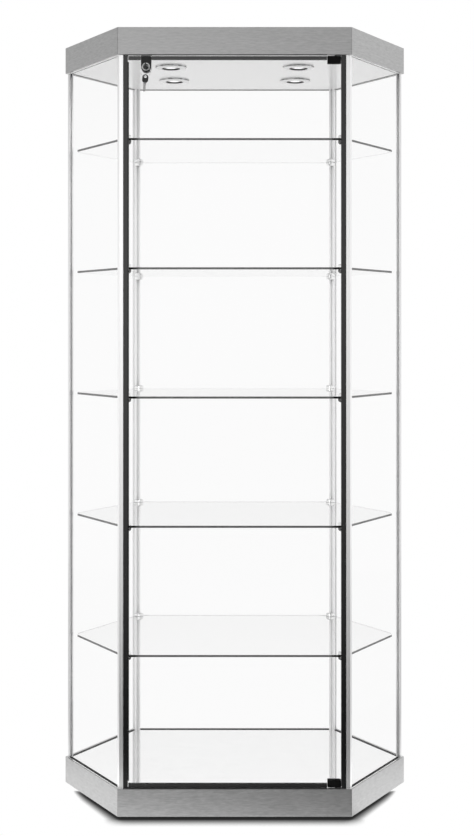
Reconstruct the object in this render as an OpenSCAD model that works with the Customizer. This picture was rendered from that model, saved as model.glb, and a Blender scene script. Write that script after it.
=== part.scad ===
// Six-sided glass display tower with a swinging glass door, adjustable glass shelves,
// ceiling lamps and a key lock on the door.
// Millimetres, +Z up, the door faces -Y, and the origin is on the floor under the centre.

/* [Case] */
// Overall height, from the floor to the top of the cap
overall_h = 1829; // [1700:1:2000]
// Width of the front and back faces, corner to corner
front_w = 540; // [500:1:620]
// Width of each of the four angled faces, corner to corner
side_w = 300; // [280:1:340]
// Height of the base band
base_h = 63; // [60:1:90]
// Height of the cap band
cap_h = 63; // [60:1:90]
// Gap between the floor and the base
foot_lift = 8; // [7:0.5:14]

/* [Boards] */
// Thickness of the brushed fascia strips
fascia_t = 4; // [3:0.5:5]
// Thickness of the deck and ceiling boards
board_t = 16; // [14:1:18]
// Thickness of the floor board and the top board
cover_t = 9; // [6:1:10]
// Hairline gap at each fascia mitre
mitre_gap = 0.3; // [0.2:0.1:0.6]
// How far the top board lies below the rim of the cap
top_recess = 3; // [2.5:0.5:6]

/* [Glass] */
// Thickness of the panes and of the door
glass_t = 5; // [4:0.5:5.5]
// Outer face of the fixed panes, behind the fascia
glass_inset = 8.5; // [8.5:0.5:9.5]
// Outer face of the door glass, behind the fascia
door_inset = 10.5; // [10:0.5:11.5]
// Height of the channel that beds each pane
channel_h = 1.3; // [1.2:0.1:8]
// Wall of the channel that beds each pane
channel_wall = 0.8; // [0.8:0.1:1]

/* [Posts] */
// Outer faces of the posts, behind the fascia
post_inset = 5.5; // [5:0.25:5.75]
// Length of each post leg along its face, from the case corner
leg_len = 12.2; // [12:0.1:13.5]
// Aluminium wall inside the glass groove
post_wall = 2.7; // [2:0.1:3.5]
// Width of the inner rib that carries the shelf channel
rib_w = 14; // [13:0.5:16]
// Width of the mouth of the shelf channel
mouth_w = 5; // [4.8:0.1:5.6]
// Radius of the screws that hold the posts
post_screw_r = 2; // [1.5:0.1:2]

/* [Shelves] */
// Height from one shelf to the next
shelf_pitch = 300; // [280:1:305]
// Thickness of the shelf glass
shelf_t = 5; // [4:0.5:8]
// Edge of the shelves, behind the fascia
shelf_inset = 23; // [22:0.5:26]
// Width of a shelf clamp
clamp_w = 20; // [18:0.5:22]
// Length of a shelf clamp, out from its post
clamp_len = 20; // [18:0.5:24]
// Height of the upper jaw of a shelf clamp
clamp_top = 8; // [6:0.5:10]
// Height of the lower jaw of a shelf clamp
clamp_drop = 9; // [9:0.5:16]

/* [Door] */
// Gap above and below the door
door_gap = 2.5; // [2.5:0.25:4]
// Gap between the door glass and the seals at its sides
side_gap = 1.2; // [1.1:0.1:3]
// Inner edge of the upright door seals, from the case corner
seal_reach = 22.6; // [22:0.1:26]
// Height of the seal on the top and bottom edges of the door
edge_seal_h = 8; // [7:0.5:12]
// Length of a hinge clamp
hinge_len = 31.5; // [30:0.5:38]
// Height of a hinge clamp
hinge_h = 17; // [16:0.5:22]
// Front to back depth of a hinge clamp
hinge_d = 14; // [13:0.5:14.5]
// Radius of the hinge pins
hinge_pin_r = 3; // [2.5:0.1:3.2]

/* [Lock] */
// Centre of the lock, from the middle of the door towards the opening side
lock_x = 205; // [170:1:210]
// Width of the lock
lock_w = 23; // [22:0.5:28]
// Height of the lock
lock_h = 36.5; // [36:0.5:44]
// Radius of the lock plug
plug_r = 6.6; // [6.4:0.1:7]
// Length of the lock plug
plug_len = 18.5; // [18:0.5:20]
// Radius at which the driver pin turns
driver_throw = 5; // [4.6:0.1:5.1]
// Radius of the key ring
ring_r = 13; // [11:0.5:15]

/* [Lamps] */
// Distance of the lamps from the middle, sideways
lamp_x = 154; // [130:1:170]
// Distance of the lamps from the middle, front to back
lamp_y = 96; // [80:1:105]
// Outer radius of the lamp bezels
bezel_r = 37.5; // [35:0.5:42]
// Radius of the opening in the lamp bezels
bezel_bore_r = 22; // [18:0.5:23]

/* [Hidden] */

$fn = 64;
eps = 1;

// Colours
SILVER = [0.66, 0.66, 0.66];
ALUMINIUM = [0.82, 0.82, 0.82];
CLEAR = [0.86, 0.92, 0.90, 0.35];
BLACK = [0.08, 0.08, 0.08];
DARK = [0.25, 0.25, 0.25];
PALE = [0.93, 0.93, 0.93];
BOARD = [0.80, 0.74, 0.62];
STEEL = [0.72, 0.72, 0.74];

// Fits
slot_fit = 0.3;
slide_fit = 0.4;
run_fit = 0.05;
shank_fit = 0.05;
hole_fit = 0.2;

// Levels
base_z = foot_lift;
deck_z = base_z + base_h;
ceiling_z = overall_h - cap_h;
open_h = ceiling_z - deck_z;
top_z = overall_h - top_recess;

// Plan of the case
turn = 60;
lean = 30;
case_d = 2 * side_w * sin(turn);
function hex_points(inset) =
  let (
    w = front_w / 2 - inset * tan(lean),
    d = case_d / 2 - inset,
    s = w + d * tan(lean)
  )
  [[-w, -d], [w, -d], [s, 0], [w, d], [-w, d], [-s, 0]];
corners = hex_points(0);
face_len = [front_w, side_w, side_w, front_w, side_w, side_w];
FRONT = [0, 1];
SIDE = [2, 5];
BACK = [3, 4];
CLAMPED = [0, 1, 3, 4];

// Post section, measured from the case corner
groove_u = 8.6;
groove_v = glass_inset - slot_fit;
groove_w = glass_t + 2 * slot_fit;
post_back = groove_v + groove_w + post_wall;
post_apex = post_back / sin(turn);
channel_depth = 3;
lip_t = 2.5;
rib_web = 1.2;
lip_overhang = 1.7;
channel_w = mouth_w + 2 * lip_overhang;
function leg_inside(x) = (post_back + x * sin(lean)) / cos(lean);
channel_y = leg_inside(channel_w / 2) + rib_web;
rib_face = channel_y + channel_depth + lip_t;
port_y = 10;
pane_u = groove_u + slide_fit;
screw_bite = 24;
screw_head_r = 3.4;
screw_head_h = 2.6;
channel_end = 0.5;

// Shelves
clamp_back = rib_face + slide_fit;
clamp_seat = 3.6;
shelf_cut = clamp_back + clamp_seat;
bolt_r = 2;
bolt_bite = 6;
grub_r = 2.5;
grub_sink = 1;
socket_r = 1.4;
socket_depth = 2;
bolt_head_w = channel_w - 2 * slide_fit;
bolt_head_t = channel_depth - 2 * slide_fit;
bolt_head_h = 8;

// Door
door_y = -case_d / 2 + door_inset;
door_mid = door_y + glass_t / 2;
door_back = door_y + glass_t;
door_half = front_w / 2 - seal_reach - side_gap;
door_low = deck_z + door_gap;
door_high = ceiling_z - door_gap;
edge_wall = 1.5;
glass_low = door_low + edge_wall;
glass_high = door_high - edge_wall;
pivot_edge = 7;
pivot_x = door_half - pivot_edge;
hinge_left = pivot_x + hinge_d / 2 - hinge_len;
hinge_block = 8;
pin_seat = 8.5;
pin_floor = 2;
hinge_notch = pin_seat + pin_floor;
grub_places = [6, 16];
grub_drop = 9.5;
bush_wall = 2.5;
bush_len = 12;
bush_flange = 1;
pin_collar = door_gap - bush_flange - slot_fit;
pin_collar_wall = 2;
pin_collar_r = hinge_pin_r + pin_collar_wall;
pin_short = 2;
seal_gap = 1;
seal_relief = 0.5;
sweep_fit = 0.3;
stop_bite = 1.2;
stop_t = 2.2;
lip_root = 3;
stop_clear = 15;
sill_t = 1.2;

// Lock
plate_t = 5;
lock_cx = -lock_x;
lock_top = door_high;
plug_drop = lock_h - lock_w / 2;
plug_z = lock_top - plug_drop;
core_wall = 2;
core_half = plug_r + core_wall;
notch_half = core_half + slot_fit;
core_low = plug_z - core_half;
plug_proud = 1.2;
rim_r = 9.2;
rim_seat = 1;
rim_step = 0.2;
plug_face = door_y - plate_t - plug_proud;
plug_rear = plug_face + plug_len;
driver_r = 1.3;
bolt_t = 3.8;
bolt_gap = 0.3;
bolt_y = plug_rear + bolt_gap;
bolt_rim = 1.6;
bolt_half = driver_throw + driver_r + bolt_rim;
bolt_tip_half = 2.8;
bolt_tail = 8.2;
bolt_draw = 0.5;
bolt_shoulder = 5.6;
bolt_rise = driver_throw * sqrt(2);
pocket_y = bolt_y + bolt_t + bolt_gap;
rear_wall = 2.5;
lock_rear = pocket_y + rear_wall;
lock_screw_r = 1.5;
lock_screw_x = 6;
lock_screw_drop = 6.5;
lock_screw_z = lock_top - lock_screw_drop;
lock_screw_head_r = 2.8;
lock_screw_head_h = 1.8;
strike_t = 1.5;
strike_fit = 1;
strike_end = 5;
strike_side = 4;
strike_pocket = 9;
pocket_room = 2;

// Keys
blade_t = 2;
blade_h = 6.5;
blade_len = 17.5;
bow_t = 2;
bow_len = 20;
bow_half = 7;
bow_gap = 2;
neck = 2;
hole_r = 3.2;
hole_from_end = 5.4;
wire_r = 0.8;
ring_turn = 25;
spare_turn = 85;
spare_tilt = 6;
hole_y = plug_face - bow_gap - bow_len + hole_from_end;

// Lamps and wiring
lamp_hole_r = 32;
can_r = 30;
can_h = 34;
can_wall = 1.6;
spigot_r = can_r - can_wall - hole_fit;
spigot_wall = 2.5;
spigot_h = 8;
lens_fit = 0.1;
lens_seat = 1.5;
lens_t = 2.5;
lens_drop = 4.5;
lens_rings = 8;
box_l = 110;
box_w = 50;
box_h = 26;
lead_r = 2;
lead_y = 10;
lead_bend = 15;
lead_bite = 4;
board_top = ceiling_z + board_t;
grommet_y = 170;
grommet_r = 4;
grommet_wall = 4;
lead_lift = 0.1;
lead_z = board_top + lead_r + lead_lift;

// Feet
foot_y = 60;
foot_r = 17;
foot_taper = 3;
stud_r = 4;
stud_top = 20;
nut_wall = 2;
nut_r = stud_r + nut_wall;
collar_t = 1.2;
collar_reach = 3;
collar_gap = 1.2;
pad_h = foot_lift - 2 * collar_t - collar_gap;
block_size = 50;
block_room = 1;

// Places things at case corner j, with +y running inwards along the bisector
module at_corner(j) {
  translate([corners[j].x, corners[j].y, 0]) rotate(turn * j - lean) children();
}

// Places things at the middle of case face k, with +y running inwards
module on_face(k) {
  middle = (corners[k] + corners[(k + 1) % 6]) / 2;
  translate([middle.x, middle.y, 0]) rotate(turn * k) children();
}

module hexagon(inset) {
  polygon(hex_points(inset));
}

// Raises an outline drawn in x and z into a plate from y to y + t
module upright(y, t) {
  translate([0, y + t, 0]) rotate([90, 0, 0]) linear_extrude(t) children();
}

// Turns what is drawn at the top of the door over to the bottom
module upside_down() {
  translate([0, 0, deck_z + ceiling_z]) mirror([0, 0, 1]) children();
}

module at_lamps() {
  for (sx = [-1, 1], sy = [-1, 1])
    translate([sx * lamp_x, sy * lamp_y, ceiling_z]) children();
}

// Fascia strips, mitred at the corners
module fascia(z, h) {
  for (k = [0:5])
    on_face(k)
      translate([0, 0, z]) linear_extrude(h) polygon([
        [-face_len[k] / 2 + mitre_gap, 0],
        [face_len[k] / 2 - mitre_gap, 0],
        [face_len[k] / 2 - mitre_gap - fascia_t * tan(lean), fascia_t],
        [-face_len[k] / 2 + mitre_gap + fascia_t * tan(lean), fascia_t]
      ]);
}

module base_fascia() {
  color(SILVER) fascia(base_z, base_h);
}

module base_deck() {
  color(PALE) difference() {
    translate([0, 0, deck_z - board_t]) linear_extrude(board_t) hexagon(fascia_t);
    for (j = [0:5])
      at_corner(j) translate([0, port_y, deck_z - board_t - eps])
        cylinder(r = post_screw_r + hole_fit, h = board_t + 2 * eps);
    upside_down() bush_hole();
  }
}

module base_floor_board() {
  color(BOARD) difference() {
    translate([0, 0, base_z]) linear_extrude(cover_t) hexagon(fascia_t);
    for (j = [0:5])
      at_corner(j) translate([0, foot_y, base_z - eps])
        cylinder(r = nut_r + shank_fit, h = cover_t + 2 * eps);
  }
}

module base_blocks() {
  z = base_z + cover_t;
  h = base_h - cover_t - board_t;
  color(BOARD) for (j = [0:5])
    at_corner(j) difference() {
      translate([-block_size / 2, foot_y - block_size / 2, z]) cube([block_size, block_size, h]);
      translate([0, foot_y, z - eps]) cylinder(r = stud_r + block_room, h = stud_top + eps + block_room);
    }
}

module foot_pads() {
  color(BLACK) for (j = [0:5])
    at_corner(j) translate([0, foot_y, 0]) difference() {
      cylinder(r1 = foot_r, r2 = foot_r - foot_taper, h = pad_h);
      translate([0, 0, pad_h / 2]) cylinder(r = stud_r + shank_fit, h = pad_h);
    }
}

module foot_studs() {
  color(STEEL) for (j = [0:5])
    at_corner(j) translate([0, foot_y, 0]) {
      translate([0, 0, pad_h / 2]) cylinder(r = stud_r, h = base_z + cover_t + stud_top - pad_h / 2);
      translate([0, 0, pad_h]) cylinder(r = stud_r + collar_reach, h = collar_t, $fn = 6);
    }
}

module foot_nuts() {
  color(STEEL) for (j = [0:5])
    at_corner(j) translate([0, foot_y, base_z]) difference() {
      union() {
        cylinder(r = nut_r, h = cover_t);
        translate([0, 0, -collar_t]) cylinder(r = nut_r + collar_reach, h = collar_t);
      }
      translate([0, 0, -collar_t - eps]) cylinder(r = stud_r + shank_fit, h = cover_t + collar_t + 2 * eps);
    }
}

// Half of the post section: one leg with its glass groove
module post_leg() {
  rotate(lean) difference() {
    polygon([
      [post_inset / tan(turn), post_inset],
      [leg_len, post_inset],
      [leg_len, post_back],
      [post_back / tan(turn), post_back]
    ]);
    translate([groove_u, groove_v]) square([leg_len, groove_w]);
  }
}

// The two legs, with the port for the screws between them
module post_legs() {
  difference() {
    union() {
      post_leg();
      mirror([1, 0]) post_leg();
    }
    translate([0, port_y]) circle(r = post_screw_r + shank_fit);
  }
}

// The inner rib, with the channel that the shelf clamps slide in
module post_rib() {
  difference() {
    polygon([
      [0, post_apex - eps],
      [rib_w / 2, leg_inside(rib_w / 2)],
      [rib_w / 2, rib_face],
      [-rib_w / 2, rib_face],
      [-rib_w / 2, leg_inside(rib_w / 2)]
    ]);
    translate([-mouth_w / 2, rib_face - lip_t - eps]) square([mouth_w, lip_t + 2 * eps]);
    translate([-channel_w / 2, channel_y]) square([channel_w, channel_depth]);
  }
}

module posts(which, ribbed) {
  color(ALUMINIUM) for (j = which)
    at_corner(j) translate([0, 0, deck_z]) linear_extrude(open_h) {
      post_legs();
      if (ribbed) post_rib();
    }
}

module posts_front() {
  posts(FRONT, true);
}

module posts_side() {
  posts(SIDE, false);
}

module posts_back() {
  posts(BACK, true);
}

// One screw, head down, from under the deck up into a post
module post_screw() {
  translate([0, 0, -screw_head_h]) cylinder(r = screw_head_r, h = screw_head_h);
  cylinder(r = post_screw_r, h = board_t + screw_bite);
}

module post_screws() {
  color(STEEL) for (j = [0:5]) at_corner(j) translate([0, port_y, 0]) {
    translate([0, 0, deck_z - board_t]) post_screw();
    translate([0, 0, board_top]) mirror([0, 0, 1]) post_screw();
  }
}

// Fixed panes
module pane(k) {
  w = face_len[k] - 2 * pane_u;
  color(CLEAR) on_face(k)
    translate([-w / 2, glass_inset, deck_z + channel_wall]) cube([w, glass_t, open_h - 2 * channel_wall]);
}

module glass_front_right() {
  pane(1);
}

module glass_back_right() {
  pane(2);
}

module glass_back() {
  pane(3);
}

module glass_back_left() {
  pane(4);
}

module glass_front_left() {
  pane(5);
}

// Channels that bed the foot of each pane
module channels() {
  w = glass_t + 2 * channel_wall;
  for (k = [1:5]) {
    l = face_len[k] - 2 * (leg_len + channel_end);
    on_face(k) translate([-l / 2, glass_inset - channel_wall, deck_z]) difference() {
      cube([l, w, channel_h]);
      translate([-eps, channel_wall, channel_wall]) cube([l + 2 * eps, glass_t, channel_h]);
    }
  }
}

// Strip on the deck under the door, from the opening side to the hinge
module door_sill() {
  left = front_w / 2 - seal_reach - slot_fit;
  translate([-left, -case_d / 2 + fascia_t, deck_z])
    cube([left + hinge_left - seal_gap, door_inset + glass_t + edge_wall - fascia_t, sill_t]);
}

module glazing_bottom() {
  color(DARK) {
    channels();
    door_sill();
  }
}

module glazing_top() {
  color(PALE) upside_down() channels();
}

// Upright seal in the front groove of a front post: its tongue, its strip, and a lip behind
// the gap beside the door, which stops short of the deck and the ceiling
module jamb_seal(lip, clear) {
  front = groove_v + slot_fit;
  back = door_inset + glass_t + seal_relief;
  translate([0, 0, deck_z]) {
    linear_extrude(open_h) polygon([
      [groove_u + slot_fit, front],
      [seal_reach, front],
      [seal_reach, back],
      [leg_len + slot_fit, back],
      [leg_len + slot_fit, front + glass_t],
      [groove_u + slot_fit, front + glass_t]
    ]);
    translate([seal_reach - lip_root, back, clear])
      cube([lip_root + lip, stop_t, open_h - 2 * clear]);
  }
}

// On the opening side the closed door rests against the lip
module jamb_seal_left() {
  color(BLACK) translate([corners[0].x, corners[0].y, 0])
    jamb_seal(side_gap + stop_bite, stop_clear);
}

module jamb_seal_right() {
  color(BLACK) translate([corners[1].x, corners[1].y, 0]) mirror([1, 0, 0])
    jamb_seal(side_gap - sweep_fit, bush_flange + seal_gap);
}

// Socketed grub screw that bears on glass at z = 0
module grub(length) {
  difference() {
    cylinder(r = grub_r, h = length);
    translate([0, 0, length - socket_depth]) cylinder(r = socket_r, h = socket_depth + eps, $fn = 6);
  }
}

// Shelves, counted from the bottom
function shelf_z(n) = deck_z + n * shelf_pitch;

module shelf(n) {
  reach = 80;
  color(CLEAR) translate([0, 0, shelf_z(n)]) linear_extrude(shelf_t) difference() {
    hexagon(shelf_inset);
    for (j = [0:5]) at_corner(j) translate([-reach / 2, shelf_cut - reach]) square([reach, reach]);
  }
}

module shelf_clamps(n) {
  nose = clamp_w / 2;
  low = shelf_z(n) - clamp_drop;
  h = clamp_drop + shelf_t + clamp_top;
  color(STEEL) for (j = CLAMPED) at_corner(j) translate([0, clamp_back, 0]) difference() {
    translate([0, 0, low]) linear_extrude(h) union() {
      translate([-nose, 0]) square([clamp_w, clamp_len - nose]);
      translate([0, clamp_len - nose]) circle(r = nose);
    }
    translate([-nose - eps, clamp_seat, shelf_z(n)]) cube([clamp_w + 2 * eps, clamp_len, shelf_t]);
    translate([0, -eps, low + clamp_drop / 2]) rotate([-90, 0, 0])
      cylinder(r = bolt_r + shank_fit, h = bolt_bite + eps);
    translate([0, clamp_len - nose, low - eps]) cylinder(r = grub_r + shank_fit, h = clamp_drop + 2 * eps);
  }
}

// Channel bolts and grub screws of one shelf
module shelf_screws(n) {
  low = shelf_z(n) - clamp_drop;
  head_y = rib_face - lip_t - slide_fit - bolt_head_t;
  color(STEEL) for (j = CLAMPED) at_corner(j) {
    translate([0, 0, low + clamp_drop / 2]) {
      translate([-bolt_head_w / 2, head_y, -bolt_head_h / 2]) cube([bolt_head_w, bolt_head_t, bolt_head_h]);
      translate([0, head_y, 0]) rotate([-90, 0, 0])
        cylinder(r = bolt_r, h = clamp_back + bolt_bite - head_y);
    }
    translate([0, clamp_back + clamp_len - clamp_w / 2, shelf_z(n)]) mirror([0, 0, 1])
      grub(clamp_drop - grub_sink);
  }
}

module shelf_1() {
  shelf(1);
}

module shelf_2() {
  shelf(2);
}

module shelf_3() {
  shelf(3);
}

module shelf_4() {
  shelf(4);
}

module shelf_5() {
  shelf(5);
}

module shelf_1_clamps() {
  shelf_clamps(1);
}

module shelf_2_clamps() {
  shelf_clamps(2);
}

module shelf_3_clamps() {
  shelf_clamps(3);
}

module shelf_4_clamps() {
  shelf_clamps(4);
}

module shelf_5_clamps() {
  shelf_clamps(5);
}

module shelf_1_screws() {
  shelf_screws(1);
}

module shelf_2_screws() {
  shelf_screws(2);
}

module shelf_3_screws() {
  shelf_screws(3);
}

module shelf_4_screws() {
  shelf_screws(4);
}

module shelf_5_screws() {
  shelf_screws(5);
}

// Cap
module cap_fascia() {
  color(SILVER) fascia(ceiling_z, cap_h);
}

// Hole for the upper hinge bush
module bush_hole() {
  translate([pivot_x, door_mid, ceiling_z - eps])
    cylinder(r = hinge_pin_r + bush_wall + shank_fit, h = bush_len + eps);
}

module ceiling_board() {
  color(PALE) difference() {
    translate([0, 0, ceiling_z]) linear_extrude(board_t) hexagon(fascia_t);
    at_lamps() translate([0, 0, -eps]) cylinder(r = lamp_hole_r, h = board_t + 2 * eps);
    for (j = [0:5])
      at_corner(j) translate([0, port_y, ceiling_z - eps])
        cylinder(r = post_screw_r + hole_fit, h = board_t + 2 * eps);
    bush_hole();
    strike_blank(eps);
    translate([lock_cx - bolt_tip_half - pocket_room, bolt_y - pocket_room, ceiling_z - eps])
      cube([2 * (bolt_tip_half + pocket_room), bolt_t + 2 * pocket_room, strike_pocket + eps]);
  }
}

module cap_top_board() {
  color(SILVER) difference() {
    translate([0, 0, top_z - cover_t]) linear_extrude(cover_t) hexagon(fascia_t);
    translate([0, grommet_y, top_z - cover_t - eps])
      cylinder(r = grommet_r + grommet_wall + shank_fit, h = cover_t + 2 * eps);
  }
}

module cable_grommet() {
  flange = 2;
  flange_reach = 3;
  flange_r = grommet_r + grommet_wall + flange_reach;
  color(BLACK) translate([0, grommet_y, top_z]) difference() {
    union() {
      translate([0, 0, -cover_t]) cylinder(r = grommet_r + grommet_wall, h = cover_t);
      cylinder(r = flange_r, h = flange);
      translate([0, 0, -cover_t - flange]) cylinder(r = flange_r, h = flange);
    }
    translate([0, 0, -cover_t - flange - eps]) cylinder(r = grommet_r, h = cover_t + 2 * (flange + eps));
  }
}

// Lamps
module lamp_bezels() {
  drop = 5;
  rim = 3.2;
  nose = 5;
  chamfer = 1;
  color(PALE) at_lamps() rotate_extrude() polygon([
    [bezel_r, 0],
    [bezel_r, -rim],
    [bezel_bore_r + nose, -drop],
    [bezel_bore_r + chamfer, -drop],
    [bezel_bore_r, chamfer - drop],
    [bezel_bore_r, lens_seat],
    [spigot_r - spigot_wall, lens_seat],
    [spigot_r - spigot_wall, spigot_h],
    [spigot_r, spigot_h],
    [spigot_r, 0]
  ]);
}

module lamp_housings() {
  color(STEEL) for (sx = [-1, 1], sy = [-1, 1])
    translate([sx * lamp_x, sy * lamp_y, ceiling_z]) difference() {
      cylinder(r = can_r, h = can_h);
      translate([0, 0, -eps]) cylinder(r = can_r - can_wall, h = can_h - can_wall + eps);
      translate([0, 0, lead_z - ceiling_z]) rotate([sy * 90, 0, 0])
        cylinder(r = lead_r + slot_fit, h = can_r + eps);
    }
}

// Lenses: a flange that lies on the bezel, and a dome that fills its bore
module lamp_lenses() {
  flange_r = spigot_r - spigot_wall - lens_fit;
  dome_r = bezel_bore_r - lens_fit;
  dome = [
    for (i = [0:lens_rings])
      [dome_r * sin(90 * i / lens_rings), lens_seat - lens_drop * cos(90 * i / lens_rings)]
  ];
  color(CLEAR) at_lamps() rotate_extrude() polygon(concat(
    [[0, lens_seat + lens_t]],
    dome,
    [[flange_r, lens_seat], [flange_r, lens_seat + lens_t]]
  ));
}

module lamp_bulbs() {
  foot_low = 24;
  foot_half = 8;
  bulb_low = 14;
  bulb_r = 5;
  color(PALE) at_lamps() {
    translate([0, 0, foot_low]) cylinder(r = foot_half, h = can_h - can_wall - foot_low);
    translate([0, 0, bulb_low]) {
      cylinder(r = bulb_r, h = foot_low - bulb_low);
      sphere(r = bulb_r);
    }
  }
}

module transformer() {
  ear = 10;
  ear_w = 25;
  ear_t = 2;
  ear_hole_r = 2;
  color(BLACK) translate([0, 0, board_top]) {
    translate([-box_l / 2, -box_w / 2, 0]) cube([box_l, box_w, box_h]);
    difference() {
      translate([-ear_w / 2, -box_w / 2 - ear, 0]) cube([ear_w, box_w + 2 * ear, ear_t]);
      for (sy = [-1, 1])
        translate([0, sy * (box_w + ear) / 2, -eps]) cylinder(r = ear_hole_r, h = ear_t + 2 * eps);
    }
  }
}

// Four leads along the top of the ceiling board, from the transformer into the lamps
module lamp_leads() {
  color(PALE) for (sx = [0, 1], sy = [0, 1])
    mirror([sx, 0, 0]) mirror([0, sy, 0]) translate([0, 0, lead_z]) {
      translate([box_l / 2, lead_y, 0]) rotate([0, 90, 0])
        cylinder(r = lead_r, h = lamp_x - lead_bend - box_l / 2);
      translate([lamp_x - lead_bend, lead_y + lead_bend, 0]) rotate(-90)
        rotate_extrude(angle = 90) translate([lead_bend, 0]) circle(r = lead_r);
      translate([lamp_x, lead_y + lead_bend, 0]) rotate([-90, 0, 0])
        cylinder(r = lead_r, h = lamp_y - can_r + lead_bite - lead_y - lead_bend);
    }
}

// Door
module lock_outline(half, low) {
  translate([lock_cx - half, low + half]) square([2 * half, lock_top - low - half]);
  translate([lock_cx, low + half]) circle(r = half);
}

module door_glass() {
  color(CLEAR) upright(door_y, glass_t) difference() {
    translate([-door_half, glass_low]) square([2 * door_half, glass_high - glass_low]);
    lock_outline(notch_half, core_low - slot_fit);
    translate([pivot_x - hinge_block, door_high - hinge_notch]) square([hinge_d * 2, hinge_notch]);
    translate([pivot_x - hinge_block, door_low]) square([hinge_d * 2, hinge_notch]);
  }
}

// One run of edge seal on the top edge of the door, from x0 to x1
module edge_seal(x0, x1) {
  w = glass_t + 2 * edge_wall;
  translate([x0, door_mid - w / 2, door_high - edge_seal_h]) difference() {
    cube([x1 - x0, w, edge_seal_h]);
    translate([-eps, edge_wall, -eps]) cube([x1 - x0 + 2 * eps, glass_t, edge_seal_h - edge_wall + eps]);
  }
}

module door_edge_seals() {
  right = hinge_left - seal_gap;
  color(BLACK) {
    edge_seal(-door_half, lock_cx - lock_w / 2 - seal_gap);
    edge_seal(lock_cx + lock_w / 2 + seal_gap, right);
    upside_down() edge_seal(-door_half, right);
  }
}

// Upper hinge clamp: a block with a slot for the glass and a bore for the pin
module hinge_clamp() {
  low = door_high - hinge_h;
  difference() {
    translate([0, door_mid, low]) linear_extrude(hinge_h) union() {
      translate([pivot_x, 0]) circle(r = hinge_d / 2);
      translate([hinge_left, -hinge_d / 2]) square([pivot_x - hinge_left, hinge_d]);
    }
    translate([hinge_left - eps, door_y, low - eps])
      cube([pivot_x - hinge_block - hinge_left + eps, glass_t, glass_high - low + eps]);
    translate([hinge_left - eps, door_y, low - eps])
      cube([hinge_len + 2 * eps, glass_t, hinge_h - hinge_notch + eps]);
    translate([pivot_x, door_mid, door_high - pin_seat])
      cylinder(r = hinge_pin_r + shank_fit, h = pin_seat + eps);
    for (x = grub_places)
      translate([hinge_left + x, door_mid, door_high - grub_drop]) rotate([-90, 0, 0])
        cylinder(r = grub_r + shank_fit, h = hinge_d);
  }
}

module hinge_clamps() {
  color(BLACK) {
    hinge_clamp();
    upside_down() hinge_clamp();
  }
}

module hinge_pin() {
  translate([pivot_x, door_mid, door_high - pin_seat])
    cylinder(r = hinge_pin_r, h = pin_seat + door_gap + bush_len - pin_short);
  translate([pivot_x, door_mid, door_high]) cylinder(r = pin_collar_r, h = pin_collar);
}

module hinge_pins() {
  color(STEEL) {
    hinge_pin();
    upside_down() hinge_pin();
  }
}

module hinge_bush() {
  translate([pivot_x, door_mid, ceiling_z]) difference() {
    union() {
      cylinder(r = hinge_pin_r + bush_wall, h = bush_len);
      translate([0, 0, -bush_flange]) cylinder(r = hinge_pin_r + 2 * bush_wall, h = bush_flange);
    }
    translate([0, 0, -bush_flange - eps])
      cylinder(r = hinge_pin_r + run_fit, h = bush_len + bush_flange + 2 * eps);
  }
}

module hinge_bushes() {
  color(DARK) {
    hinge_bush();
    upside_down() hinge_bush();
  }
}

// Grub screws that grip the glass in one hinge clamp
module hinge_grubs() {
  for (x = grub_places)
    translate([hinge_left + x, door_back, door_high - grub_drop]) rotate([-90, 0, 0])
      grub((hinge_d - glass_t) / 2 - grub_sink);
}

module door_screws() {
  color(STEEL) {
    hinge_grubs();
    upside_down() hinge_grubs();
    for (s = [-1, 1])
      translate([lock_cx + s * lock_screw_x, 0, lock_screw_z]) rotate([-90, 0, 0]) {
        translate([0, 0, door_y]) cylinder(r = lock_screw_r, h = lock_rear - door_y);
        translate([0, 0, lock_rear]) cylinder(r = lock_screw_head_r, h = lock_screw_head_h);
      }
  }
}

// Cuts a round hole of radius r along y through what it is taken from
module lock_bore(x, z, r) {
  through = 60;
  translate([x, door_y - 2 * plate_t, z]) rotate([-90, 0, 0]) cylinder(r = r, h = through);
}

// Lock: front plate with the core that fills the notch in the glass
module lock_case() {
  color(BLACK) difference() {
    union() {
      upright(door_y - plate_t, plate_t) lock_outline(lock_w / 2, lock_top - lock_h);
      upright(door_y - eps, glass_t + eps) lock_outline(core_half, core_low);
    }
    lock_bore(lock_cx, plug_z, plug_r + run_fit);
    translate([lock_cx, door_y - plate_t - eps, plug_z]) rotate([-90, 0, 0])
      cylinder(r = rim_r + shank_fit, h = rim_seat + eps);
    for (s = [-1, 1])
      translate([lock_cx + s * lock_screw_x, door_y, lock_screw_z]) rotate([-90, 0, 0])
        cylinder(r = lock_screw_r + shank_fit, h = glass_t + eps);
  }
}

// Bright rim round the plug, pressed into the front plate
module lock_collar() {
  h = plug_proud + rim_seat - rim_step;
  color(STEEL) translate([lock_cx, plug_face + rim_step, plug_z]) rotate([-90, 0, 0]) difference() {
    cylinder(r = rim_r, h = h);
    translate([0, 0, -eps]) cylinder(r = plug_r + slot_fit, h = h + 2 * eps);
  }
}

// Lock: rear housing with the pocket for the bolt
module lock_back() {
  pocket_h = bolt_tail + bolt_shoulder + bolt_rise + 2 * bolt_gap;
  color(BLACK) difference() {
    upright(door_back, lock_rear - door_back) lock_outline(lock_w / 2, lock_top - lock_h);
    translate([lock_cx, door_back - eps, plug_z]) rotate([-90, 0, 0])
      cylinder(r = plug_r + run_fit, h = plug_rear - door_back + eps);
    translate([lock_cx - bolt_half - bolt_gap, plug_rear, plug_z - bolt_tail - bolt_gap])
      cube([2 * (bolt_half + bolt_gap), pocket_y - plug_rear, pocket_h]);
    translate([lock_cx - bolt_tip_half - bolt_gap, plug_rear, plug_z])
      cube([2 * (bolt_tip_half + bolt_gap), pocket_y - plug_rear, lock_h]);
    for (s = [-1, 1]) lock_bore(lock_cx + s * lock_screw_x, lock_screw_z, lock_screw_r + shank_fit);
  }
}

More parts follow.
